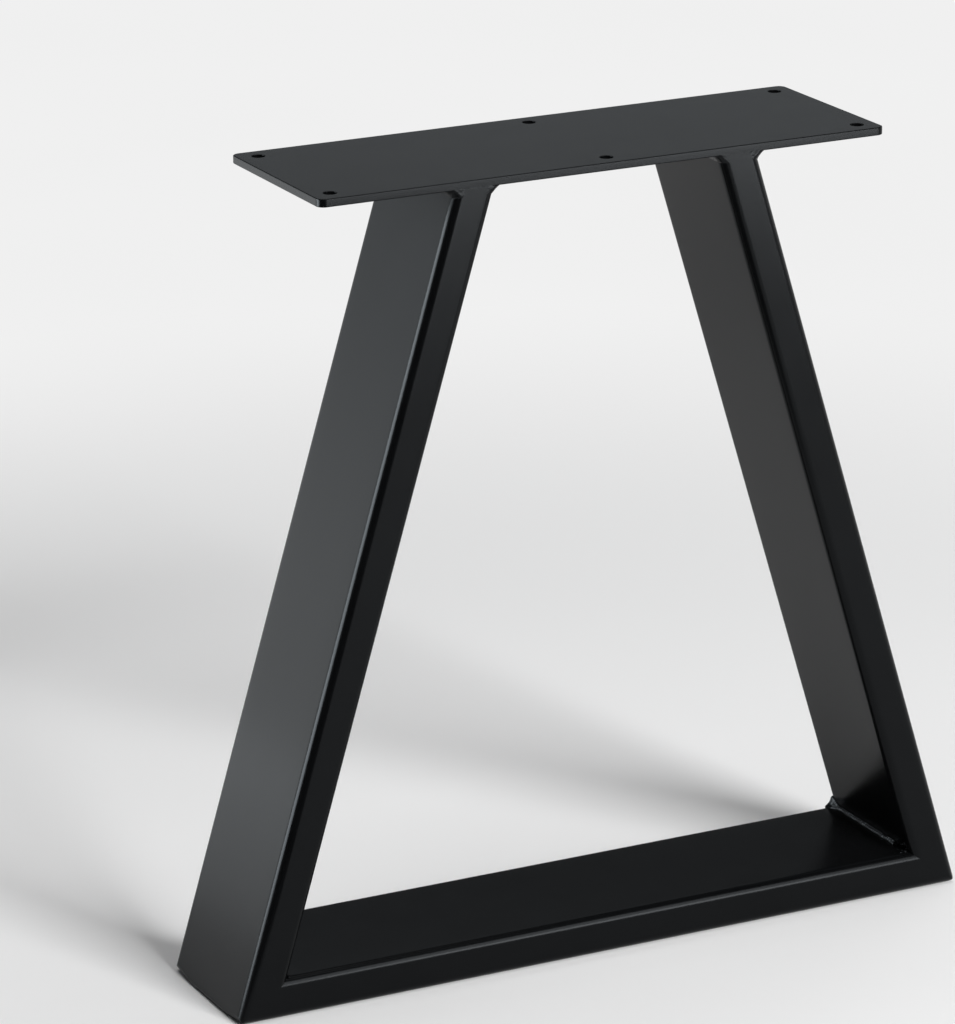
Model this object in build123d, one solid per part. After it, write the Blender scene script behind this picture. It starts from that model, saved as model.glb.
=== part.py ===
from build123d import *
from math import atan2, cos, pi, sin, tan
import os

# Welded trapezoid table leg: a frame of flat steel tube under a drilled mounting plate.
# Millimetres, +Z up. The foot rail stands on the floor at z = 0, the plate is centred over
# the origin, and the side of the frame that is ground flush with the plate faces -Y.

# Overall form
HEIGHT = 400.0            # floor to the top of the plate
FOOT_WIDTH = 400.0        # across the legs' outer faces at the floor, before the corners are ground
SHOULDER_WIDTH = 160.0    # across the legs' outer faces under the plate

# Rectangular steel tube, the same for both legs and the rail
TUBE_DEPTH = 80.0         # wide side, front to back
TUBE_FACE = 20.0          # narrow side, seen from the front
TUBE_WALL = 2.0
TUBE_CORNER = 4.3         # rolled outer corner
FOOT_CORNER = 2.0         # round ground on the welded outer foot corners
FOOT_CORNER_ENDS = 4.5    # the same round at the tubes' front and back, where it is ground more
FOOT_CORNER_RUN = 18.0    # how far in from the front and back it grows

# Mounting plate
PLATE_LENGTH = 300.0
PLATE_DEPTH = 100.0
PLATE_THICKNESS = 4.0
PLATE_CORNER = 4.0        # round corners seen from above
PLATE_EDGE = 0.5          # broken edges, top and bottom
HOLE_DIAMETER = 6.5       # clearance for wood screws
HOLE_INSET = 10.0         # hole centres from the plate's edges
MIDDLE_HOLE_SHIFT = 3.5   # the middle pair is drilled off centre, to the right

# Fillet welds
TOP_WELD_DROP = 4.2       # beads round the legs under the plate, down the tube
TOP_WELD_OUTER = 5.4      # along the plate, in the closed corner outside the leg
TOP_WELD_INNER = 3.5      # in the open corner inside the leg
TOP_WELD_BACK = 4.5       # behind the leg
FOOT_WELD_LEG = 2.5       # beads in the inner foot corners
FOOT_WELD_CROWN = 0.3     # how far those beads stand proud of a flat face
FOOT_WELD_STOP = 14.0     # how far behind the tubes' front they begin
FOOT_WELD_END_LEG = 5.5   # the puddle where they end, at the tubes' back
FOOT_WELD_END_SAG = 0.6   # how hollow that puddle is
FOOT_WELD_END_RUN = 7.0   # how far it takes to grow

# Worked out from the above
UNDERSIDE = HEIGHT - PLATE_THICKNESS
FRONT = -PLATE_DEPTH / 2
TUBE_MIDDLE = FRONT + TUBE_DEPTH / 2
LEAN = atan2((FOOT_WIDTH - SHOULDER_WIDTH) / 2, UNDERSIDE)
FOOT_ANGLE = pi / 2 - LEAN            # between the rail and a leg
OUTER_CORNER = min(TUBE_CORNER, 0.49 * TUBE_FACE)              # less than half the face
INNER_CORNER = max(OUTER_CORNER - TUBE_WALL, 0.1 * TUBE_WALL)  # a thick wall still has a small one

# Directions and corners of the right-hand side, in the plane seen from the front
ALONG_RAIL = Vector(-1, 0, 0)
UP_LEG = Vector(-sin(LEAN), 0, cos(LEAN))
OUT_OF_LEG = Vector(cos(LEAN), 0, sin(LEAN))
ACROSS_MITRE = (ALONG_RAIL + UP_LEG).normalized()
OUTER_FOOT = Vector(FOOT_WIDTH / 2, TUBE_MIDDLE, 0)
INNER_FOOT = OUTER_FOOT + ACROSS_MITRE * (TUBE_FACE / sin(FOOT_ANGLE / 2))
LEG_FOOT = OUTER_FOOT - OUT_OF_LEG * (TUBE_FACE / 2)     # on the leg's centre line


def mirrored(shape):
    return mirror(shape, about=Plane.YZ)


def tube_outline():
    return RectangleRounded(TUBE_FACE, TUBE_DEPTH, OUTER_CORNER)


def tube_section():
    bore = RectangleRounded(TUBE_FACE - 2 * TUBE_WALL, TUBE_DEPTH - 2 * TUBE_WALL, INNER_CORNER)
    return tube_outline() - bore


def leg_bar(section):
    """A section run up the right leg from below the mitre, cut level under the plate."""
    spare = 2 * TUBE_FACE
    start = Plane(LEG_FOOT - UP_LEG * spare, x_dir=OUT_OF_LEG, z_dir=UP_LEG)
    bar = extrude(start * section, UNDERSIDE / cos(LEAN) + 2 * spare)
    return split(bar, bisect_by=Plane.XY.offset(UNDERSIDE), keep=Keep.BOTTOM)


def leg_middle(height):
    """Where the right leg's centre line is at a height, along X."""
    return LEG_FOOT.X - (height - LEG_FOOT.Z) * tan(LEAN)


def mitre_plane():
    """The cut through the right foot corner, with the leg on its upper side."""
    towards_leg = UP_LEG - ACROSS_MITRE * UP_LEG.dot(ACROSS_MITRE)
    return Plane(OUTER_FOOT, x_dir=(0, 1, 0), z_dir=towards_leg)


def shaving_slice(across, radius):
    """What grinding to a radius takes off the sharp outer foot corner, in a slice."""
    half = FOOT_ANGLE / 2
    corner = Vector(OUTER_FOOT.X, across, OUTER_FOOT.Z)
    on_rail = corner + ALONG_RAIL * (radius / tan(half))
    on_leg = corner + UP_LEG * (radius / tan(half))
    crest = corner + ACROSS_MITRE * (radius / sin(half) - radius)
    clear = corner - ACROSS_MITRE * radius
    outline = [
        Line(on_rail, clear),
        Line(clear, on_leg),
        ThreePointArc(on_leg, crest, on_rail),
    ]
    return make_face(outline)


def foot_shaving():
    """The ground round along the foot corner, fuller at the front and back."""
    reach = TUBE_DEPTH / 2
    run = min(FOOT_CORNER_RUN, 0.9 * reach)
    ends = (-reach - TUBE_FACE, -reach, run - reach, reach - run, reach, reach + TUBE_FACE)
    radii = (FOOT_CORNER_ENDS, FOOT_CORNER_ENDS, FOOT_CORNER, FOOT_CORNER, FOOT_CORNER_ENDS, FOOT_CORNER_ENDS)
    slices = [shaving_slice(TUBE_MIDDLE + end, radius) for end, radius in zip(ends, radii)]
    return loft(slices, ruled=True)


def right_leg_tube():
    """Mitred at the foot to meet the rail."""
    tube = split(leg_bar(tube_section()), bisect_by=mitre_plane(), keep=Keep.TOP)
    return tube - foot_shaving()


def rail_bar(section):
    """A section run along the floor, past both feet."""
    start = Plane((-FOOT_WIDTH, TUBE_MIDDLE, TUBE_FACE / 2), x_dir=(0, 0, 1), z_dir=(1, 0, 0))
    return extrude(start * section, 2 * FOOT_WIDTH)


def foot_rail():
    """Mitred at both ends to meet the legs."""
    rail = split(rail_bar(tube_section()), bisect_by=mitre_plane(), keep=Keep.BOTTOM) - foot_shaving()
    rail = mirrored(split(mirrored(rail), bisect_by=mitre_plane(), keep=Keep.BOTTOM))
    return rail - mirrored(foot_shaving())


def hole_centres():
    across = PLATE_LENGTH / 2 - HOLE_INSET
    along = PLATE_DEPTH / 2 - HOLE_INSET
    return [(x, y) for x in (-across, MIDDLE_HOLE_SHIFT, across) for y in (-along, along)]


def top_plate():
    """Laser-cut plate with broken edges and six plain screw holes."""
    blank = RectangleRounded(PLATE_LENGTH, PLATE_DEPTH, PLATE_CORNER)
    plate = extrude(Plane.XY.offset(UNDERSIDE) * blank, PLATE_THICKNESS)
    rims = plate.edges().group_by(Axis.Z)
    plate = chamfer(rims[0] + rims[-1], PLATE_EDGE)
    drill = extrude(Plane.XY.offset(UNDERSIDE) * Circle(HOLE_DIAMETER / 2), PLATE_THICKNESS)
    return plate - [Pos(x, y, 0) * drill for x, y in hole_centres()]


def weld_outline(height, outer, inner, back):
    """The right leg's level outline, spread by the weld outside, inside and behind it."""
    half = TUBE_FACE / 2 / cos(LEAN)
    left = leg_middle(height) - half - inner
    right = leg_middle(height) + half + outer
    rear = FRONT + TUBE_DEPTH + back
    front_x, front_y = OUTER_CORNER / cos(LEAN), OUTER_CORNER
    front, turn = FRONT + front_y, rear - front_y - back
    edges = [
        Line((left + front_x, FRONT), (right - front_x, FRONT)),
        EllipticalCenterArc((right - front_x, front), front_x, front_y, 270, arc_size=90),
        Line((right, front), (right, turn)),
        EllipticalCenterArc((right - front_x - outer, turn), front_x + outer, front_y + back, 0, arc_size=90),
        Line((right - front_x - outer, rear), (left + front_x + inner, rear)),
        EllipticalCenterArc((left + front_x + inner, turn), front_x + inner, front_y + back, 90, arc_size=90),
        Line((left, turn), (left, front)),
        EllipticalCenterArc((left + front_x, front), front_x, front_y, 180, arc_size=90),
    ]
    return Plane.XY.offset(height) * make_face(edges)


def front_seam():
    """A bar over the leg's front that, cut by the plate, fills the plate's broken lower edge."""
    width = (TUBE_FACE - 2 * OUTER_CORNER) / cos(LEAN) + TOP_WELD_OUTER + TOP_WELD_INNER
    middle = leg_middle(UNDERSIDE) + (TOP_WELD_OUTER - TOP_WELD_INNER) / 2
    size = 2 * PLATE_EDGE
    bar = Box(width, size, size, align=(Align.CENTER, Align.MIN, Align.MIN))
    return Pos(middle, FRONT, UNDERSIDE) * bar


def right_top_weld():
    """Bead round the leg's outer, back and inner faces, ground flush at the front."""
    low = weld_outline(UNDERSIDE - TOP_WELD_DROP, 0, 0, 0)
    high = weld_outline(UNDERSIDE, TOP_WELD_OUTER, TOP_WELD_INNER, TOP_WELD_BACK)
    collar = loft([low, high], ruled=True)
    return collar + front_seam() - leg_bar(tube_outline()) - top_plate()


def foot_weld_slice(across, leg, crown):
    """A slice of the foot bead, taken down into the tubes so that cutting them out leaves its face."""
    corner = Vector(INNER_FOOT.X, across, INNER_FOOT.Z)
    on_rail = corner + ALONG_RAIL * leg
    on_leg = corner + UP_LEG * leg
    middle = (on_rail + on_leg) * 0.5 + ACROSS_MITRE * crown
    under_rail = on_rail - Vector(0, 0, OUTER_CORNER)
    inside_leg = on_leg + OUT_OF_LEG * OUTER_CORNER
    root = corner - ACROSS_MITRE * (OUTER_CORNER / sin(FOOT_ANGLE / 2))
    outline = [
        ThreePointArc(on_rail, middle, on_leg),
        Line(on_leg, inside_leg),
        Line(inside_leg, root),
        Line(root, under_rail),
        Line(under_rail, on_rail),
    ]
    return make_face(outline)


def right_foot_weld():
    """Bead in the inner foot corner, from behind the front to a puddle at the tubes' back."""
    back = FRONT + TUBE_DEPTH - OUTER_CORNER / 4
    slices = [
        foot_weld_slice(FRONT + FOOT_WELD_STOP, FOOT_WELD_LEG, FOOT_WELD_CROWN),
        foot_weld_slice(back - FOOT_WELD_END_RUN, FOOT_WELD_LEG, FOOT_WELD_CROWN),
        foot_weld_slice(back, FOOT_WELD_END_LEG, -FOOT_WELD_END_SAG),
    ]
    return loft(slices, ruled=True) - leg_bar(tube_outline()) - rail_bar(tube_outline())


pieces = {
    "top_plate": top_plate(),
    "foot_rail": foot_rail(),
    "right_leg_tube": right_leg_tube(),
    "left_leg_tube": mirrored(right_leg_tube()),
    "right_top_weld": right_top_weld(),
    "left_top_weld": mirrored(right_top_weld()),
    "right_foot_weld": right_foot_weld(),
    "left_foot_weld": mirrored(right_foot_weld()),
}

os.makedirs("parts", exist_ok=True)
for name, shape in pieces.items():
    export_step(shape, f"parts/{name}.step")
    print(f"{name}: {len(shape.solids())} solid, {shape.volume:.0f} mm3")
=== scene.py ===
# %% [markdown]
# # A welded table leg in black powder coat
#
# The leg is a flat trapezoid frame of rectangular steel tube under a drilled plate. Its measured
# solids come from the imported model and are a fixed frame: nothing here moves or resizes them. What
# this lesson adds is what the eye meets first, the rolled corners, the weld beads, the satin coat
# and the light. Loading comes first, because every size below is read from those solids.

# %% Load the measured frame
import math
import random

import bmesh
import bpy
from mathutils import Matrix, Vector, noise
from mathutils.geometry import delaunay_2d_cdt


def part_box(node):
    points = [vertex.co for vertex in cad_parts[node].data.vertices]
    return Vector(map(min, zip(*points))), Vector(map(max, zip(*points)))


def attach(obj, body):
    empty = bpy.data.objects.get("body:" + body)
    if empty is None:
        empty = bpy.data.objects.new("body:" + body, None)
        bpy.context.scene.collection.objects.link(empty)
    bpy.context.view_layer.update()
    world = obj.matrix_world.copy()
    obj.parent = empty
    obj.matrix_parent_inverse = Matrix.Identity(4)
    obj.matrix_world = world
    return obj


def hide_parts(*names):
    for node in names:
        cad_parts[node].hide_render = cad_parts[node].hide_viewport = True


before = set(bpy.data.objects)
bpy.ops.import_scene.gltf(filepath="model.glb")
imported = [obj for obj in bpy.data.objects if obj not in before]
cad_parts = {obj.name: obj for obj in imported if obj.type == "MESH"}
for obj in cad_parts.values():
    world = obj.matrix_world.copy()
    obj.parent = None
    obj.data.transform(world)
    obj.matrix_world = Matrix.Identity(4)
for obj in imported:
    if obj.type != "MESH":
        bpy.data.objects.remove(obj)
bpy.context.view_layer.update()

print("solids:", ", ".join(sorted(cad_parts)))

# %% [markdown]
# ## The sizes that everything hangs on
#
# A welder sets the frame out from a few lines: the plate's underside, the front that is ground
# flush, and the slope of the legs. The boxes of the solids give all of them. The slope, for
# example, runs from the inner foot corner, one weld leg outside the end of the foot weld, to the
# inner shoulder under the plate. Reading it this way means the dressed pieces follow if the frame is
# made another size. Only what no box shows, such as the rolled corner of the tube, is written down.

# %% Key places and sizes
MM = 0.001
plate_low, plate_high = (Vector(corner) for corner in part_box("top_plate"))
rail_low, rail_high = (Vector(corner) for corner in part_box("foot_rail"))
shoulder_low, _ = (Vector(corner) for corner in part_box("right_leg_tube"))
foot_weld_low, foot_weld_high = (Vector(corner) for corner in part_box("right_foot_weld"))
top_weld_low, top_weld_high = (Vector(corner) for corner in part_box("right_top_weld"))

UNDERSIDE = plate_low.z
FRONT = rail_low.y
TUBE_DEPTH = rail_high.y - rail_low.y
TUBE_MIDDLE = (rail_high.y + rail_low.y) / 2
TUBE_FACE = rail_high.z - rail_low.z
TUBE_CORNER = 4.3 * MM
TUBE_WALL = 2.0 * MM
PUDDLE_LEG = 5.5 * MM

inner_foot = Vector((foot_weld_low.x + PUDDLE_LEG, TUBE_MIDDLE, rail_high.z))
inner_shoulder_x = shoulder_low.x
LEAN = math.atan2(inner_foot.x - inner_shoulder_x, UNDERSIDE - inner_foot.z)
HALF_FOOT_ANGLE = (math.pi / 2 - LEAN) / 2
LEVEL_FACE = TUBE_FACE / math.cos(LEAN)
outer_foot = Vector((inner_foot.x + TUBE_FACE / math.tan(HALF_FOOT_ANGLE), TUBE_MIDDLE, rail_low.z))

UP_LEG = Vector((-math.sin(LEAN), 0, math.cos(LEAN)))
INTO_LEG = Vector((-math.cos(LEAN), 0, -math.sin(LEAN)))
ALONG_RAIL = Vector((-1, 0, 0))
INTO_RAIL = Vector((0, 0, 1))
print(f"lean {math.degrees(LEAN):.2f} degrees, outer foot corner at x = {outer_foot.x / MM:.1f} mm")

# %% [markdown]
# ## Turning lists of points into pieces
#
# Each piece of this leg is made the same way: work out rings of points, join neighbours with quads,
# and hand the mesh to an object. bmesh is the natural tool, because it merges the points that fall
# together at a mitre and turns all faces outward. Large flats beside small rounds shade badly if
# every face pulls equally on the shared normals, so a Weighted Normal modifier lets the larger
# face win. That is what makes a rolled corner look rolled and a flat side look flat.

# %% Mesh helpers
MERGE = 0.0005 * MM
SHARP_ANGLE = math.radians(38)


def join_rings(mesh, rings):
    """Quads between neighbouring rings of vertices, with where each quad sits as (ring, place)."""
    faces = []
    count = len(rings[0])
    for step, (near, far) in enumerate(zip(rings, rings[1:])):
        for place in range(count):
            beside = (place + 1) % count
            face = mesh.faces.new((near[place], near[beside], far[beside], far[place]))
            faces.append((face, step, place))
    return faces


def add_object(name, data):
    """An object in the scene that holds a mesh, a lamp or a camera."""
    thing = bpy.data.objects.new(name, data)
    bpy.context.scene.collection.objects.link(thing)
    return thing


def finished_piece(name, mesh, mirrored=False):
    """An object from a bmesh, shaded smooth between its sharp edges."""
    if mirrored:
        for vertex in mesh.verts:
            vertex.co.x = -vertex.co.x
    bmesh.ops.remove_doubles(mesh, verts=mesh.verts, dist=MERGE)
    bmesh.ops.dissolve_degenerate(mesh, edges=mesh.edges, dist=MERGE)
    bmesh.ops.recalc_face_normals(mesh, faces=mesh.faces)
    data = bpy.data.meshes.new(name)
    mesh.to_mesh(data)
    mesh.free()
    data.polygons.foreach_set("use_smooth", [True] * len(data.polygons))
    data.set_sharp_from_angle(angle=SHARP_ANGLE)
    piece = add_object(name, data)
    weighted = piece.modifiers.new("flats win", "WEIGHTED_NORMAL")
    weighted.keep_sharp = True
    return piece


def dress(piece, node, material):
    """Puts a made piece in the place of its solid."""
    piece.data.materials.append(material)
    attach(piece, "root")
    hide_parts(node)
    size = piece.dimensions / MM
    print(f"{piece.name}: {len(piece.data.polygons)} faces, {size.x:.1f} x {size.y:.1f} x {size.z:.1f} mm")


# %% [markdown]
# ## The camera
#
# The view is a product view from the front left, a little above the plate. The camera's place was
# found by matching the frame's straight edges, so it is written as a direction and a distance from
# the middle of the leg. A long lens keeps the uprights from leaning. The image is 955 by 1024, and
# its long side takes the sensor's width.

# %% Camera
VIEW_AZIMUTH = math.radians(-26.395)
VIEW_ELEVATION = math.radians(17.823)
VIEW_ROLL = math.radians(-0.496)
VIEW_DISTANCE = 2.5058
VIEW_LENS = 180.09
VIEW_AIM = Vector((-0.0342, 0.0237, 0.2122))


def away(azimuth, elevation):
    """The direction out to a place seen from the leg: azimuth 0 is in front, 90 degrees is right."""
    level = math.cos(elevation)
    return Vector((math.sin(azimuth) * level, -math.cos(azimuth) * level, math.sin(elevation)))


def place_facing(thing, place, direction, roll=0.0):
    """Stands a lamp or camera at a place, looking along a direction."""
    turn = direction.to_track_quat("-Z", "Y").to_matrix().to_4x4()
    thing.matrix_world = Matrix.Translation(place) @ turn @ Matrix.Rotation(roll, 4, "Z")


camera_data = bpy.data.cameras.new("camera")
camera_data.lens = VIEW_LENS
camera = add_object("camera", camera_data)
back_to_eye = away(VIEW_AZIMUTH, VIEW_ELEVATION)
place_facing(camera, VIEW_AIM + back_to_eye * VIEW_DISTANCE, -back_to_eye, VIEW_ROLL)
bpy.context.scene.camera = camera
print("camera at", [round(value, 3) for value in camera.matrix_world.translation])

# %% [markdown]
# ## Nodes without clutter
#
# Every finish below is a small tree of shader nodes. Writing each node by hand hides what matters,
# so one helper makes a node, sets its plain inputs and links the rest. A value that is a socket is
# linked, and anything else is set on the input itself.

# %% Node helper
def add_node(tree, kind, settings=None, **inputs):
    """A node with its settings and inputs; input names use _ for a space."""
    node = tree.nodes.new(kind)
    for key, value in (settings or {}).items():
        setattr(node, key, value)
    for key, value in inputs.items():
        socket = node.inputs[key.replace("_", " ")]
        if isinstance(value, bpy.types.NodeSocket):
            tree.links.new(value, socket)
        else:
            socket.default_value = value
    return node


def blend_colours(tree, share, first, second):
    """A colour between two, by a 0 to 1 share."""
    ramp = add_node(tree, "ShaderNodeValToRGB", Fac=share)
    ramp.color_ramp.elements[0].color = first
    ramp.color_ramp.elements[1].color = second
    return ramp.outputs["Color"]


def add_socket_sum(tree, *sockets):
    """The sum of some values, held to 1."""
    total = sockets[0]
    for socket in sockets[1:]:
        plus = add_node(tree, "ShaderNodeMath", {"operation": "ADD", "use_clamp": True})
        tree.links.new(total, plus.inputs[0])
        tree.links.new(socket, plus.inputs[1])
        total = plus.outputs["Value"]
    return total


def new_material(name):
    """A node material, its tree and its main shader."""
    material = bpy.data.materials.new(name)
    material.use_nodes = True
    tree = material.node_tree
    return material, tree, tree.nodes["Principled BSDF"]


print("node helper ready")

# %% [markdown]
# ## Floor
#
# The leg stands on a plain pale studio floor, wide enough to fill the view from any side. It has to
# be matt, because a shiny one would mirror the frame, and nearly white, because the black coat is
# seen mostly by what it reflects. Near the leg the floor is lit like everything else and keeps the
# shadow. Far from it, where the lamps no longer reach, it fades into its own paper white for the
# camera and for mirror rays, as a lit sweep of paper would look.

# %% Floor
FLOOR_REACH = 14.0
FLOOR_SIDES = 96
FLOOR_MOTTLE = 3.0
FLOOR_LIGHT = (0.88, 0.88, 0.88, 1)
FLOOR_SHADE = (0.86, 0.86, 0.86, 1)
FADE_START = 0.45
FADE_END = 1.15


def matt_sheet(name, scale, dark, light):
    """A matt, faintly mottled material, with the sockets of its place and colour."""
    material, tree, shader = new_material(name)
    place = add_node(tree, "ShaderNodeTexCoord").outputs["Object"]
    mottle = add_node(tree, "ShaderNodeTexNoise", Vector=place, Scale=scale, Detail=2.0).outputs["Fac"]
    colour = blend_colours(tree, mottle, dark, light)
    tree.links.new(colour, shader.inputs["Base Color"])
    shader.inputs["Roughness"].default_value = 1.0
    shader.inputs["Specular IOR Level"].default_value = 0.0
    return material, place, colour


bpy.ops.mesh.primitive_circle_add(vertices=FLOOR_SIDES, radius=FLOOR_REACH, fill_type="NGON")
floor = bpy.context.object
floor.name = "studio_floor"
paper, place, paper_white = matt_sheet("pale_paper", FLOOR_MOTTLE, FLOOR_SHADE, FLOOR_LIGHT)
tree = paper.node_tree
distance = add_node(tree, "ShaderNodeVectorMath", {"operation": "LENGTH"}, Vector=place).outputs["Value"]
fade = add_node(tree, "ShaderNodeMapRange", {"interpolation_type": "SMOOTHSTEP"},
                Value=distance, From_Min=FADE_START, From_Max=FADE_END).outputs["Result"]
path = add_node(tree, "ShaderNodeLightPath").outputs
seen = add_socket_sum(tree, path["Is Camera Ray"], path["Is Glossy Ray"], path["Is Transmission Ray"])
share = add_node(tree, "ShaderNodeMath", {"operation": "MULTIPLY"})
tree.links.new(fade, share.inputs[0])
tree.links.new(seen, share.inputs[1])
glow = add_node(tree, "ShaderNodeEmission", Color=paper_white, Strength=1.0)
mix = add_node(tree, "ShaderNodeMixShader", Fac=share.outputs["Value"])
tree.links.new(tree.nodes["Principled BSDF"].outputs["BSDF"], mix.inputs[1])
tree.links.new(glow.outputs["Emission"], mix.inputs[2])
tree.links.new(mix.outputs["Shader"], tree.nodes["Material Output"].inputs["Surface"])
floor.data.materials.append(paper)
print("floor reaches", FLOOR_REACH, "m")

# %% [markdown]
# ## Light
#
# Black satin shows little colour of its own. It shows the lamps. A bright box at the left draws the
# line down the front edge of the left leg, and dim ones behind and below it fill the outer side. Boxes
# in front open up the front faces, and two dim strips behind lie where the level tops mirror. A lamp
# is written as its direction (azimuth, elevation and distance), its size and how bright its face is,
# since that brightness is what the coat mirrors. Ray visibility splits the work: the boxes that draw
# edges are kept off the floor, which would show their patches of light. The key lights the floor and
# is kept out of the coat, because the flats would mirror it as a white patch.

# %% Lamps
LAMP_AIM = Vector((0, 0, 0.2))
COOL = (0.94, 1.0, 1.04)


def add_lamp(name, direction, size, bright, tint=(1, 1, 1), roll=0, on_floor=True, in_coat=True):
    """A soft box whose face has a set brightness, aimed at the middle of the leg."""
    azimuth, elevation, distance = direction
    data = bpy.data.lights.new(name, "AREA")
    data.shape = "RECTANGLE"
    data.size, data.size_y = size
    data.energy = math.pi * size[0] * size[1] * bright
    data.color = tint
    lamp = add_object(name, data)
    lamp.visible_camera = False
    lamp.visible_diffuse = on_floor
    lamp.visible_glossy = in_coat
    outward = away(math.radians(azimuth), math.radians(elevation))
    place_facing(lamp, LAMP_AIM + outward * distance, -outward, math.radians(roll))
    return lamp


lamps = [
    add_lamp("left_box", (-108, 11.5, 1.0), (0.6, 0.9), 13.0, COOL, roll=28, on_floor=False),
    add_lamp("left_back_box", (-143, 11.5, 1.0), (0.5, 0.8), 1.1, COOL, on_floor=False),
    add_lamp("left_low_box", (-129, -18, 0.5), (0.25, 0.1), 0.9, COOL, on_floor=False),
    add_lamp("front_right_box", (25, 5, 1.2), (0.6, 0.35), 11.8, on_floor=False),
    add_lamp("front_high_box", (26, 33, 2.0), (1.1, 0.9), 4.5, on_floor=False),
    add_lamp("front_fill_box", (52, 15, 2.4), (1.4, 0.7), 0.35, on_floor=False),
    add_lamp("front_key_box", (14, 29, 4.0), (1.6, 1.4), 27.0, in_coat=False),
    add_lamp("right_box", (85, 12, 2.2), (1.2, 0.8), 2.0),
    add_lamp("top_box", (180, 85, 3.0), (2.4, 2.4), 2.1),
    add_lamp("back_box", (154, 25, 1.2), (1.2, 0.3), 0.31, COOL),
    add_lamp("low_back_box", (156, 10, 2.4), (1.6, 0.4), 0.26, COOL),
]
WORLD_GREY = (0.02, 0.02, 0.021, 1)
world = bpy.data.worlds.new("studio")
world.use_nodes = True
world.node_tree.nodes["Background"].inputs["Color"].default_value = WORLD_GREY
bpy.context.scene.world = world
bpy.context.scene.view_settings.view_transform = "Standard"
print(len(lamps), "soft boxes")

# %% [markdown]
# ## Black flag
#
# A photographer makes a dark band on a shiny edge with a flag, a black card that stands where the
# edge mirrors. Here it stands in a curve round the front of the left leg, and its foot lies on the
# floor towards the leg, so that the edge doesn't mirror the pale floor there. It can be met only by
# the coat's reflections, so it neither shades the floor nor shows in the picture. Its two ends set
# where the band starts and stops: from the end of the left box to short of what the front face mirrors.

# %% Curved black card
FLAG_MIDDLE = Vector((-0.16, -0.05, 0))
FLAG_RADIUS = 0.5
FLAG_HEIGHT = 0.5
FLAG_FROM, FLAG_TO, FLAG_STEPS = -74, 9, 24
FLAG_APRON = 0.16
FLAG_LIFT = 0.001
FELT_NAP = 60.0
FELT_DARK = (0.003, 0.003, 0.003, 1)
FELT_LIGHT = (0.006, 0.006, 0.006, 1)


def card_row(reach, height):
    """A row of places along the card, at one reach from its middle and one height."""
    sweep = FLAG_TO - FLAG_FROM
    turns = [math.radians(FLAG_FROM + sweep * step / FLAG_STEPS) for step in range(FLAG_STEPS + 1)]
    return [FLAG_MIDDLE + away(turn, 0.0) * reach + Vector((0, 0, height)) for turn in turns]


card_places = card_row(FLAG_APRON, FLAG_LIFT) + card_row(FLAG_RADIUS, FLAG_LIFT)
card_places += card_row(FLAG_RADIUS, FLAG_HEIGHT)
row = FLAG_STEPS + 1
starts = [start + step for start in (0, row) for step in range(FLAG_STEPS)]
card = bpy.data.meshes.new("black_card")
card.from_pydata(card_places, [], [(i, i + 1, i + 1 + row, i + row) for i in starts])
flag = add_object("black_card", card)
flag.visible_camera = False
flag.visible_shadow = False
flag.visible_diffuse = False
felt, _, _ = matt_sheet("black_felt", FELT_NAP, FELT_DARK, FELT_LIGHT)
card.materials.append(felt)
print("card", round(math.radians(FLAG_TO - FLAG_FROM) * FLAG_RADIUS, 2), "m long")

# %% [markdown]
# ## Black powder coat
#
# Powder is sprayed on dry and melted in an oven, which leaves a satin film with a faint orange peel:
# shallow bumps about a millimetre across. The colour is a nearly pure black, a little cool. In
# shader terms that is a very dark base, a weak satin gloss whose index is low, so that sides seen at
# a slant stay dark, and two scales of bump. Bump alone is enough here, because the peel is only some
# micrometres high. The same tree serves every piece, and each piece adds what lies under its film.

# %% Powder coat
COAT_DARK = (0.0018, 0.0019, 0.0021, 1)
COAT_LIGHT = (0.0028, 0.0030, 0.0033, 1)
COAT_INDEX = 1.2
COAT_GLOSS = 0.58
COAT_TINT = (0.90, 0.955, 1.0, 1)
ROUGH_ON_TUBE = (0.21, 0.25)
ROUGH_ON_PLATE = (0.22, 0.26)
ROUGH_ON_WELD = (0.17, 0.28)
CLOUD_SCALE = 45.0
PEEL_SCALE = 750.0
PEEL_HEIGHT = 0.012 * MM
GRAIN_SCALE = 3200.0
GRAIN_HEIGHT = 0.0022 * MM
STREAK_SCALE = (420.0, 5.0, 1.0)
STREAK_HEIGHT = 0.006 * MM
SLAG_SCALE = 700.0
SLAG_HEIGHT = 0.16 * MM


def spread(tree, value, low, high):
    """Maps a 0 to 1 value to a range."""
    return add_node(tree, "ShaderNodeMapRange", Value=value, To_Min=low, To_Max=high).outputs["Result"]


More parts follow.
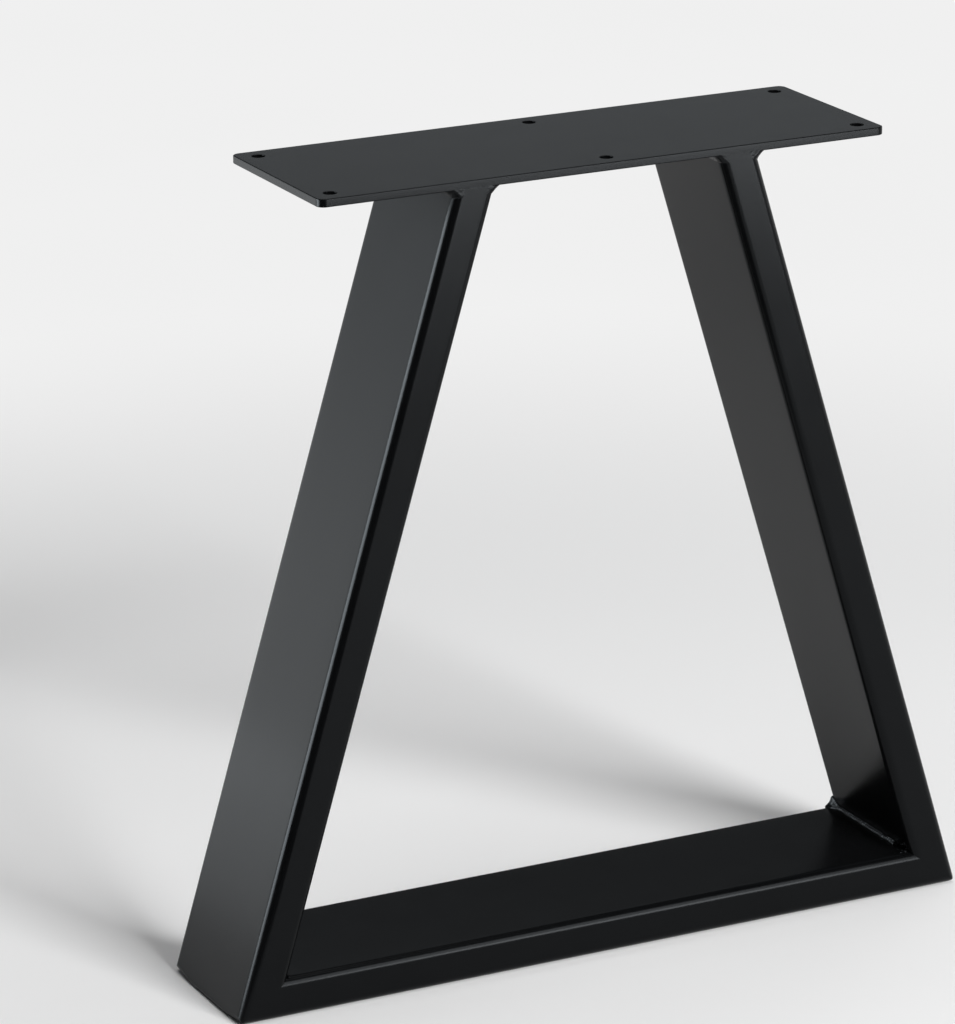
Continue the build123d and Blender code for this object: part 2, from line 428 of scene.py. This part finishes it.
def powder_coat(name, rough_range, under_film=None):
    """The satin film; under_film(tree) may give a pattern and its height that show through it."""
    material, tree, shader = new_material(name)
    place = add_node(tree, "ShaderNodeTexCoord").outputs["Object"]
    cloud = add_node(tree, "ShaderNodeTexNoise", Vector=place, Scale=CLOUD_SCALE, Detail=3.0).outputs["Fac"]
    peel = add_node(tree, "ShaderNodeTexNoise", Vector=place, Scale=PEEL_SCALE, Detail=1.5)
    grain = add_node(tree, "ShaderNodeTexNoise", Vector=place, Scale=GRAIN_SCALE, Detail=1.0)
    tree.links.new(blend_colours(tree, cloud, COAT_DARK, COAT_LIGHT), shader.inputs["Base Color"])
    rough = spread(tree, cloud, *rough_range)
    tree.links.new(rough, shader.inputs["Roughness"])
    shader.inputs["IOR"].default_value = COAT_INDEX
    shader.inputs["Specular IOR Level"].default_value = COAT_GLOSS
    shader.inputs["Specular Tint"].default_value = COAT_TINT
    bump = add_node(tree, "ShaderNodeBump", Height=grain.outputs["Fac"], Distance=GRAIN_HEIGHT)
    bump = add_node(tree, "ShaderNodeBump", Height=peel.outputs["Fac"], Distance=PEEL_HEIGHT,
                    Normal=bump.outputs["Normal"])
    if under_film:
        height, tall = under_film(tree)
        bump = add_node(tree, "ShaderNodeBump", Height=height, Distance=tall, Normal=bump.outputs["Normal"])
    tree.links.new(bump.outputs["Normal"], shader.inputs["Normal"])
    return material


def drawn_streaks(tree):
    """Faint lines that rolling leaves along a tube, from its unrolled map."""
    unrolled = add_node(tree, "ShaderNodeUVMap", {"uv_map": "unrolled"}).outputs["UV"]
    stretched = add_node(tree, "ShaderNodeMapping", Vector=unrolled, Scale=STREAK_SCALE)
    streak = add_node(tree, "ShaderNodeTexNoise", Vector=stretched.outputs["Vector"], Scale=1.0, Detail=3.0)
    return streak.outputs["Fac"], STREAK_HEIGHT


def weld_lumps(tree):
    """Small lumps of slag and spatter that stay under the film on a bead."""
    place = add_node(tree, "ShaderNodeTexCoord").outputs["Object"]
    lumps = add_node(tree, "ShaderNodeTexNoise", Vector=place, Scale=SLAG_SCALE, Detail=3.0)
    return lumps.outputs["Fac"], SLAG_HEIGHT


coat_on_tube = powder_coat("powder_coat_on_tube", ROUGH_ON_TUBE, drawn_streaks)
coat_on_plate = powder_coat("powder_coat_on_plate", ROUGH_ON_PLATE)
coat_on_weld = powder_coat("powder_coat_on_weld", ROUGH_ON_WELD, weld_lumps)
print("coats:", coat_on_tube.name, coat_on_plate.name, coat_on_weld.name)

# %% [markdown]
# ## The tube's section
#
# Rectangular tube is rolled from strip, so its corners are round and its wide sides fall away very
# slightly just before them. The section is drawn once, as a ring of places: how deep each point
# lies in from the outer face, and how far across. The same ring serves the outside and, set in by
# the wall, the inside. The slight fall of the shoulders is a tenth of a millimetre, yet it lights
# up the front edge of the side as the real one does.

# %% Section of the tube
CORNER_STEPS = 10
WIDE_STEPS = 14
NARROW_STEPS = 3
SHOULDER_WIDTH = 15.0 * MM
SHOULDER_FALL = 0.09 * MM


def eased(start, end, steps):
    """Places from start towards end, closer together near both."""
    return [start + (end - start) * (1 - math.cos(math.pi * step / steps)) / 2 for step in range(steps)]


def tube_section(inset, corner):
    """(depth, across) round the tube, set in from its outside by an inset."""
    near, far = inset, TUBE_FACE - inset
    edge = TUBE_DEPTH / 2 - inset
    across = edge - corner
    ring = [(near, value) for value in eased(-across, across, WIDE_STEPS)]
    ring += rolled_corner(near + corner, across, corner, 180)
    ring += [(value, edge) for value in eased(near + corner, far - corner, NARROW_STEPS)]
    ring += rolled_corner(far - corner, across, corner, 90)
    ring += [(far, value) for value in eased(across, -across, WIDE_STEPS)]
    ring += rolled_corner(far - corner, -across, corner, 0)
    ring += [(value, -edge) for value in eased(far - corner, near + corner, NARROW_STEPS)]
    ring += rolled_corner(near + corner, -across, corner, 270)
    return [(fallen(depth, across), across) for depth, across in ring]


def rolled_corner(depth, across, radius, start):
    """A quarter round, turning from a start angle."""
    angles = [math.radians(start - 90 * step / CORNER_STEPS) for step in range(CORNER_STEPS)]
    return [(depth + radius * math.cos(angle), across + radius * math.sin(angle)) for angle in angles]


def fallen(depth, across):
    """Depth with the shoulder's fall, which eases in towards the corners."""
    into = max(0.0, abs(across) - (TUBE_DEPTH / 2 - SHOULDER_WIDTH)) / SHOULDER_WIDTH
    return depth + SHOULDER_FALL * into ** 2 * (1 - 2 * depth / TUBE_FACE)


outside = tube_section(0.0, TUBE_CORNER)
inside = tube_section(TUBE_WALL, TUBE_CORNER - TUBE_WALL)
print("section:", len(outside), "points outside,", len(inside), "inside")

# %% [markdown]
# ## Mitred tubes
#
# The legs and the rail are sawn at the half angle and welded, and the sharp outer foot corner is
# then ground to a small round. Each tube is a sweep: every point of the section runs straight along
# the tube, and only where it starts and stops differs. A point near the outer face stops on the
# ground round, and the others stop on the mitre. The grinder tips over at the front and back, so the
# round is fuller there. One function gives that reach for legs and rail alike, so the two halves of
# a corner meet exactly. A second map, unrolled from the tube, carries the streaks along it.

# %% Mitred tubes
ROUND_STEPS = 6
STATIONS = 36
FOOT_CORNER = 2.0 * MM
FOOT_CORNER_ENDS = 4.5 * MM
FOOT_CORNER_RUN = 18.0 * MM


def ground_radius(across):
    """Radius of the ground foot round, which grows towards the tube's front and back."""
    grown = max(0.0, (abs(across) - TUBE_DEPTH / 2) / FOOT_CORNER_RUN + 1)
    return FOOT_CORNER + (FOOT_CORNER_ENDS - FOOT_CORNER) * grown


def crest_depth(across):
    """Depth at which the ground round crosses the mitre."""
    return ground_radius(across) * (1 - math.sin(HALF_FOOT_ANGLE))


def foot_reach(depth, across):
    """How far along the tube it starts at a place: on the ground round, or on the mitre."""
    if depth < crest_depth(across):
        radius = ground_radius(across)
        return radius / math.tan(HALF_FOOT_ANGLE) - math.sqrt(radius ** 2 - (radius - depth) ** 2)
    return depth / math.tan(HALF_FOOT_ANGLE)


def shoulder_reach(depth, across):
    """Where a leg is cut level under the plate, along the leg."""
    return (UNDERSIDE - outer_foot.z + depth * math.sin(LEAN)) / math.cos(LEAN)


def far_foot_reach(depth, across):
    """Where the rail ends at its other mitre."""
    return 2 * outer_foot.x - foot_reach(depth, across)


def round_ring(section, reach, share):
    """A ring on the ground round, from its rim at share 0 to its crest at share 1."""
    deep = [(max(d, crest_depth(v) * share ** 2), v) for d, v in section]
    return [(d, v, reach(d, v)) for d, v in deep]


def tube_rings(section, far_reach, far_round):
    """Rings of (depth, across, along) from the ground foot round to the far end."""
    shares = [step / ROUND_STEPS for step in range(1, ROUND_STEPS + 1)]
    rings = [round_ring(section, foot_reach, share) for share in reversed(shares)]
    for share in (step / STATIONS for step in range(STATIONS + 1)):
        rings.append([(d, v, foot_reach(d, v) * (1 - share) + far_reach(d, v) * share) for d, v in section])
    if far_round:
        rings += [round_ring(section, far_reach, share) for share in shares]
    return rings


def unroll(mesh, faces, rings):
    """A map of each side laid flat: across the section, and along the tube."""
    layer = mesh.loops.layers.uv.new("unrolled")
    across = [0.0]
    for (d0, v0), (d1, v1) in zip(outside, outside[1:] + outside[:1]):
        across.append(across[-1] + math.hypot(d1 - d0, v1 - v0))
    for face, step, place in faces:
        spots = ((step, place), (step, place + 1), (step + 1, place + 1), (step + 1, place))
        for loop, (ring, column) in zip(face.loops, spots):
            loop[layer].uv = (across[column], rings[ring][column % len(outside)][2])


def mitred_tube(name, along, into, far_reach, far_round, mirrored=False):
    """A hollow tube from the right outer foot corner, running along a direction."""
    mesh = bmesh.new()
    skins = []
    for section in (outside, inside):
        rings = tube_rings(section, far_reach, far_round)
        verts = [[mesh.verts.new(outer_foot + into * d + Vector((0, v, 0)) + along * t) for d, v, t in ring]
                 for ring in rings]
        skins.append(verts)
        faces = join_rings(mesh, verts)
        if section is outside:
            unroll(mesh, faces, rings)
    for end in (0, -1):
        join_rings(mesh, [skins[0][end], skins[1][end]])
    return finished_piece(name, mesh, mirrored)


tubes = {
    "right_leg_tube": mitred_tube("right_leg", UP_LEG, INTO_LEG, shoulder_reach, False),
    "left_leg_tube": mitred_tube("left_leg", UP_LEG, INTO_LEG, shoulder_reach, False, mirrored=True),
    "foot_rail": mitred_tube("rail", ALONG_RAIL, INTO_RAIL, far_foot_reach, True),
}
for node, piece in tubes.items():
    dress(piece, node, coat_on_tube)

# %% [markdown]
# ## The drilled plate
#
# The plate is cut from sheet, and its edges and hole rims are only broken, not rounded over. A light
# line lives on that broken edge, so it is modelled: the outline is repeated in layers from the
# underside to the top, set in a little at both. Holes get the same treatment the other way round.
# The two flats with six holes in them are filled by a Delaunay triangulation, which copes with
# holes and leaves no overlapping faces.

# %% Drilled plate
PLATE_CORNER = 4.0 * MM
PLATE_EDGE = 0.5 * MM
HOLE_RADIUS = 3.25 * MM
HOLE_RIM = 0.3 * MM
HOLE_INSET = 10.0 * MM
MIDDLE_HOLE_SHIFT = 3.5 * MM
EDGE_STEPS = 5
HOLE_STEPS = 48
EDGE_SPACING = 1.6 * MM
half_length = plate_high.x
half_depth = plate_high.y
hole_x = half_length - HOLE_INSET
hole_y = half_depth - HOLE_INSET
hole_centres = [(x, y) for x in (-hole_x, MIDDLE_HOLE_SHIFT, hole_x) for y in (-hole_y, hole_y)]


def plate_outline(inset):
    """The plate's outline from above, with short steps along its sides."""
    radius = PLATE_CORNER - inset
    centre_x = half_length - PLATE_CORNER
    centre_y = half_depth - PLATE_CORNER
    ring = []
    for quarter, (sx, sy) in enumerate(((1, 1), (-1, 1), (-1, -1), (1, -1))):
        for step in range(CORNER_STEPS + 1):
            angle = math.radians(90 * (quarter + step / CORNER_STEPS))
            ring.append((sx * centre_x + radius * math.cos(angle), sy * centre_y + radius * math.sin(angle)))
        run = 2 * (centre_x if quarter % 2 == 0 else centre_y)
        steps = round(run / EDGE_SPACING)
        heading = math.radians(90 * quarter + 180)
        x, y = ring[-1]
        for step in range(1, steps):
            reach = run * step / steps
            ring.append((x + reach * math.cos(heading), y + reach * math.sin(heading)))
    return ring


def broken_edge(size):
    """(inset, height) from the underside's flat round to the top's flat."""
    layers = []
    for step in range(EDGE_STEPS + 1):
        angle = math.pi / 2 * step / EDGE_STEPS
        layers.append((size * (1 - math.sin(angle)), plate_low.z + size * (1 - math.cos(angle))))
    return layers + [(inset, plate_low.z + plate_high.z - height) for inset, height in reversed(layers)]


def hole_ring(centre, inset):
    """A ring round a hole, wider than the hole by an inset."""
    angles = [2 * math.pi * step / HOLE_STEPS for step in range(HOLE_STEPS)]
    radius = HOLE_RADIUS + inset
    return [(centre[0] + radius * math.cos(a), centre[1] + radius * math.sin(a)) for a in angles]


def fill_flat(mesh, loops):
    """Fills the flat between an outline and its holes."""
    verts = [vertex for loop in loops for vertex in loop]
    edges = []
    first = 0
    for loop in loops:
        count = len(loop)
        edges += [(first + place, first + (place + 1) % count) for place in range(count)]
        first += count
    flat = [vertex.co.xy for vertex in verts]
    _, _, triangles, origins, _, _ = delaunay_2d_cdt(flat, edges, [], 1, MERGE)
    for triangle in triangles:
        corners = [verts[origins[corner][0]] for corner in triangle]
        middle = sum((corner.co.xy for corner in corners), Vector((0, 0))) / 3
        if all((middle - Vector(centre)).length > HOLE_RADIUS + HOLE_RIM for centre in hole_centres):
            mesh.faces.new(corners)


def drilled_plate():
    """The plate's rim, the walls of its holes and its two flats."""
    mesh = bmesh.new()
    walls = [[[mesh.verts.new((x, y, z)) for x, y in plate_outline(inset)]
              for inset, z in broken_edge(PLATE_EDGE)]]
    for centre in hole_centres:
        walls.append([[mesh.verts.new((x, y, z)) for x, y in hole_ring(centre, inset)]
                      for inset, z in broken_edge(HOLE_RIM)])
    for rings in walls:
        join_rings(mesh, rings)
    for end in (0, -1):
        fill_flat(mesh, [rings[end] for rings in walls])
    return finished_piece("plate", mesh)


plate = drilled_plate()
dress(plate, "top_plate", coat_on_plate)

# %% [markdown]
# ## Weld beads
#
# A bead is laid in small overlapping pools, so it has ripples across it, toes that wander, and a
# surface that is a little full or a little hollow, with a small ridge along each toe. Both kinds of
# bead here share one recipe: at each step along the joint there are two toes and a root, and a row
# of points from toe to toe that is pushed out by ripple and ridge. Noise that is fixed by place, not
# drawn at random, makes the same bead on every run.

# %% Bead recipe
BEAD_ROWS = 14
RIPPLE_PITCH = 1.8 * MM
RIPPLE_CURVE = 1.4
RIPPLE_HEIGHT = 0.05 * MM
RIPPLE_DRIFT = 2.0
RIPPLE_MEAN, RIPPLE_SWING = 0.7, 0.5
LUMP_HEIGHT = 0.06 * MM
TOE_RIDGE = 0.10 * MM
RIDGE_PLACE, RIDGE_WIDTH = 0.72, 0.14
WANDER_PITCH = 5.0 * MM
LUMP_PITCH = 1.3 * MM
DROP_HEIGHT = 0.75


def wander(run, seed):
    """A slow drift between -1 and 1 along the bead, another one for each seed."""
    return noise.noise(Vector((run / WANDER_PITCH, seed, 0.0)))


def bead_face(toe_a, toe_b, out, run, crown, seed, height=1.0, rough=1.0):
    """A row of points from toe to toe, full by the crown and rippled along the run."""
    row = []
    for step in range(BEAD_ROWS + 1):
        share = step / BEAD_ROWS
        full = 4 * share * (1 - share)
        from_middle = abs(2 * share - 1)
        phase = 2 * math.pi * run / RIPPLE_PITCH + RIPPLE_CURVE * from_middle ** 2
        phase += RIPPLE_DRIFT * wander(run, seed)
        ripple = RIPPLE_HEIGHT * math.sin(phase) * (RIPPLE_MEAN + RIPPLE_SWING * wander(run, seed + 9))
        ridge = TOE_RIDGE * math.exp(-((from_middle - RIDGE_PLACE) / RIDGE_WIDTH) ** 2)
        ridge *= 1 + wander(run, seed + 2)
        place = toe_a.lerp(toe_b, share)
        lump = LUMP_HEIGHT * noise.noise(place / LUMP_PITCH + Vector((seed, 0, 0)))
        row.append(place + out * (full * (crown + (ripple + lump) * height * rough) + ridge * height))
    return row


def bead_mesh(mesh, stations):
    """Joins stations, each a face row and the points under it, into a closed bead."""
    rings = [[mesh.verts.new(point) for point in row + under] for row, under in stations]
    join_rings(mesh, rings)
    for ring in (rings[0], rings[-1]):
        mesh.faces.new(ring)


def add_drop(mesh, place, lift, along, size, stretch=1.0):
    """A droplet half sunk in a surface that faces lift, drawn out along one way."""
    axes = (along * stretch, lift.cross(along), lift * DROP_HEIGHT)
    shape = Matrix.Translation(place) @ Matrix([axis.to_4d() for axis in axes] + [(0, 0, 0, 1)]).transposed()
    bmesh.ops.create_icosphere(mesh, subdivisions=3, radius=size, matrix=shape)


print("ripples every", round(RIPPLE_PITCH / MM, 1), "mm")

# %% [markdown]
# ## Beads under the plate
#
# One bead runs round each leg, down the outer side, across the back and up the inner side, and its
# two ends are ground flush with the front. So the path is the leg's own level outline, from front
# corner to front corner. At each place the lower toe lies on the tube and the upper toe on the plate's
# underside. At the front corners the bead spreads sideways only, which keeps its ground ends in the
# plane of the front. A small strip fills the broken edge of the plate above the front face.

# %% Beads under the plate
tube_back = FRONT + TUBE_DEPTH
TOP_DROP = UNDERSIDE - top_weld_low.z
TOP_OUTER = top_weld_high.x - inner_shoulder_x - LEVEL_FACE
TOP_INNER = inner_shoulder_x - top_weld_low.x
TOP_BACK = top_weld_high.y - tube_back
STATION_STEP = 0.5 * MM
TOE_WANDER = 0.06
OUTER_SAG = 0.20 * MM
INNER_SAG = 0.10 * MM
SAG_RUN = 14.0 * MM
CROWN_WANDER = 0.15 * MM
CROWN_STRETCH = 0.4
corner_x = TUBE_CORNER / math.cos(LEAN)
corner_y = TUBE_CORNER


def straight_run(start, end, spread_way):
    """Stations along a straight side of the outline, where the bead spreads one way."""
    steps = max(2, round((Vector(end) - Vector(start)).length / STATION_STEP))
    points = (Vector(start).lerp(Vector(end), step / steps) for step in range(steps))
    return [(point, Vector(spread_way)) for point in points]


def corner_run(centre, start, spread_way=None):
    """A quarter of the tube's level outline; the bead fans out round it unless told a way."""
    stations = []
    for step in range(CORNER_STEPS + 1):
        angle = math.radians(start + 90 * step / CORNER_STEPS)
        fan = Vector((math.cos(angle), math.sin(angle)))
        point = Vector(centre) + Vector((corner_x * fan.x, corner_y * fan.y))
        stations.append((point, Vector(spread_way) if spread_way else fan))
    return stations


def leg_outline():
    """(place, way the bead spreads) round the right leg under the plate, front corner to front corner."""
    left, right = inner_shoulder_x, inner_shoulder_x + LEVEL_FACE
    front, back = FRONT + corner_y, tube_back - corner_y
    path = corner_run((right - corner_x, front), 270, (1, 0))
    path += straight_run((right, front), (right, back), (1, 0))[1:]
    path += corner_run((right - corner_x, back), 0)
    path += straight_run((right - corner_x, tube_back), (left + corner_x, tube_back), (0, 1))[1:]
    path += corner_run((left + corner_x, back), 90)
    path += straight_run((left, back), (left, front), (-1, 0))[1:]
    path += corner_run((left + corner_x, front), 180, (-1, 0))
    return path


def top_bead(name, seed, toe_drops, mirrored):
    """The bead round one leg, with its front seam and the droplets at its toe."""
    mesh = bmesh.new()
    path = leg_outline()
    runs = [0.0]
    for (place, _), (beside, _) in zip(path, path[1:]):
        runs.append(runs[-1] + (beside - place).length)
    stations = []
    for (place, way), run in zip(path, runs):
        size = 1 - TOE_WANDER + TOE_WANDER * wander(run, seed + 3)
        down = TOP_DROP * (1 - TOE_WANDER + TOE_WANDER * wander(run, seed + 5))
        flare = Vector((way.x * (TOP_OUTER if way.x > 0 else TOP_INNER), way.y * TOP_BACK, 0)) * size
        root = Vector((place.x, place.y, UNDERSIDE))
        toe_on_tube = root + Vector((down * math.tan(LEAN), 0, -down))
        face_out = Vector((way.x, way.y, -1)).normalized()
        sag = OUTER_SAG * max(0.0, 1 - run / SAG_RUN) + INNER_SAG * max(0.0, 1 - (runs[-1] - run) / SAG_RUN)
        crown = CROWN_WANDER * wander(run * CROWN_STRETCH, seed + 7) - sag
        stations.append((bead_face(toe_on_tube, root + flare, face_out, run, crown, seed), [root]))
    bead_mesh(mesh, stations)
    add_front_seam(mesh)
    for turn, fall, drop_size in toe_drops:
        fan = Vector((math.cos(math.radians(turn)), -math.sin(math.radians(turn)), 0))
        down = TOP_DROP + fall
        centre_x = inner_shoulder_x + LEVEL_FACE - corner_x + down * math.tan(LEAN)
        place = Vector((centre_x + corner_x * fan.x, FRONT + corner_y + corner_y * fan.y, UNDERSIDE - down))
        add_drop(mesh, place, fan, UP_LEG, drop_size)
    return finished_piece(name, mesh, mirrored)


def add_front_seam(mesh):
    """The ground strip that fills the plate's broken lower edge above the leg's front."""
    low = inner_shoulder_x + corner_x - TOP_INNER
    high = inner_shoulder_x + LEVEL_FACE - corner_x + TOP_OUTER
    section = ((FRONT, UNDERSIDE), (FRONT, UNDERSIDE + PLATE_EDGE), (FRONT + PLATE_EDGE, UNDERSIDE))
    ends = [[mesh.verts.new((x, y, z)) for y, z in section] for x in (low, high)]
    join_rings(mesh, ends)
    for end in ends:
        mesh.faces.new(end)


# Droplets at the outer front toe: turn round the tube's corner in degrees, fall below the toe, size
right_drops = [(24, -0.3 * MM, 0.4 * MM)]
left_drops = [(14, -0.5 * MM, 0.55 * MM), (38, -0.2 * MM, 0.4 * MM), (62, -0.4 * MM, 0.35 * MM)]
right_shoulder_bead = top_bead("right_shoulder_bead", 2.0, right_drops, mirrored=False)
left_shoulder_bead = top_bead("left_shoulder_bead", 31.0, left_drops, mirrored=True)
dress(right_shoulder_bead, "right_top_weld", coat_on_weld)
dress(left_shoulder_bead, "left_top_weld", coat_on_weld)

# %% [markdown]
# ## Beads in the foot corners
#
# The inner foot corners can't be ground, so their beads stay as laid: narrow, rough, with spatter
# beside them under the coat. The run begins behind the front and ends in a wider, hollow puddle at
# the back. The recipe is the same, with one toe on the rail and one on the leg. Under the face each
# station goes down into the tubes a little, so that no gap opens where their corners roll away at
# the back. The droplets are small flattened spheres sunk in the tube, most of them at the front end,
# where the torch was struck.

# %% Beads in the foot corners
FOOT_LEG = 2.5 * MM
FOOT_CROWN = 0.3 * MM
FOOT_ROUGH = 2.4
PUDDLE_RUN = 7.0 * MM
PUDDLE_SAG = 0.6 * MM
FOOT_SINK = 1.6 * MM
START_TAPER = 2.0 * MM
START_SIZE = 0.35
FOOT_STATION_STEP = 0.6 * STATION_STEP
FOOT_TOE_WANDER = 0.08
DROP_SIZES = (0.25 * MM, 0.75 * MM)
SPATTER_PAST_START = 1.3
BESIDE_BEAD_CHANCE, BESIDE_BEAD_SHARE = 0.3, 0.6
SPATTER_NEAR, SPATTER_SPREAD = 0.3, 1.3
ON_LEG_CHANCE = 0.45
across_mitre = (ALONG_RAIL + UP_LEG).normalized()


def add_corner_drop(mesh, along_y, on_leg, reach, size, stretch=1.0, climbs=False):
    """A droplet on the leg or on the rail, drawn out along the corner or, if it climbs, away from it."""
    surface, lift = (UP_LEG, INTO_LEG) if on_leg else (ALONG_RAIL, INTO_RAIL)
    place = Vector((inner_foot.x, along_y, inner_foot.z)) + surface * reach
    add_drop(mesh, place, lift, surface if climbs else Vector((0, 1, 0)), size, stretch)


def add_spatter(mesh, count, seed):
    """Droplets beside the bead, thickest in front of its start."""
    draw = random.Random(seed)
    start = FRONT + TUBE_CORNER
    for _ in range(count):
        along_y = start + (foot_weld_low.y - start) * SPATTER_PAST_START * draw.random()
        if draw.random() < BESIDE_BEAD_CHANCE:
            bead_length = foot_weld_high.y - foot_weld_low.y
            along_y = foot_weld_low.y + BESIDE_BEAD_SHARE * bead_length * draw.random()
        reach = FOOT_LEG * (SPATTER_NEAR + SPATTER_SPREAD * draw.random() ** 2)
        size = DROP_SIZES[0] + (DROP_SIZES[1] - DROP_SIZES[0]) * draw.random() ** 2
        add_corner_drop(mesh, along_y, draw.random() < ON_LEG_CHANCE, reach, size)


def foot_bead(name, seed, drops, strikes, mirrored):
    """The bead in one inner foot corner, with its spatter and the drops where the torch was struck."""
    mesh = bmesh.new()
    length = foot_weld_high.y - foot_weld_low.y
    steps = round(length / FOOT_STATION_STEP)
    stations = []
    for step in range(steps + 1):
        run = length * step / steps
        corner = Vector((inner_foot.x, foot_weld_low.y + run, inner_foot.z))
        start = min(1.0, START_SIZE + (1 - START_SIZE) * run / START_TAPER)
        puddle = max(0.0, 1 - (length - run) / PUDDLE_RUN)
        leg = (FOOT_LEG + (PUDDLE_LEG - FOOT_LEG) * puddle) * start
        crown = FOOT_CROWN * (1 - puddle) * start - PUDDLE_SAG * puddle
        rail_size = 1 - FOOT_TOE_WANDER + FOOT_TOE_WANDER * wander(run, seed + 3)
        leg_size = 1 - FOOT_TOE_WANDER + FOOT_TOE_WANDER * wander(run, seed + 5)
        toe_on_rail = corner + ALONG_RAIL * leg * rail_size
        toe_on_leg = corner + UP_LEG * leg * leg_size
        row = bead_face(toe_on_rail, toe_on_leg, across_mitre, run, crown, seed, start, FOOT_ROUGH)
        root = corner - across_mitre * FOOT_SINK / math.sin(HALF_FOOT_ANGLE)
        under = [toe_on_leg - INTO_LEG * FOOT_SINK, root, toe_on_rail - INTO_RAIL * FOOT_SINK]
        stations.append((row, under))
    bead_mesh(mesh, stations)
    add_spatter(mesh, drops, seed)
    for drop in strikes:
        add_corner_drop(mesh, **drop)
    return finished_piece(name, mesh, mirrored)


right_strikes = [
    dict(along_y=FRONT + 5.5 * MM, on_leg=False, reach=0.8 * MM, size=1.0 * MM, stretch=1.8),
    dict(along_y=FRONT + 6.0 * MM, on_leg=True, reach=3.6 * MM, size=0.7 * MM, stretch=1.7, climbs=True),
    dict(along_y=FRONT + 25.0 * MM, on_leg=False, reach=2.8 * MM, size=0.6 * MM),
]
left_strikes = [dict(along_y=FRONT + 3.6 * MM, on_leg=False, reach=0.7 * MM, size=1.6 * MM, stretch=1.3)]
right_foot_bead = foot_bead("right_foot_bead", 12.0, 22, right_strikes, mirrored=False)
left_foot_bead = foot_bead("left_foot_bead", 47.0, 14, left_strikes, mirrored=True)
dress(right_foot_bead, "right_foot_weld", coat_on_weld)
dress(left_foot_bead, "left_foot_weld", coat_on_weld)
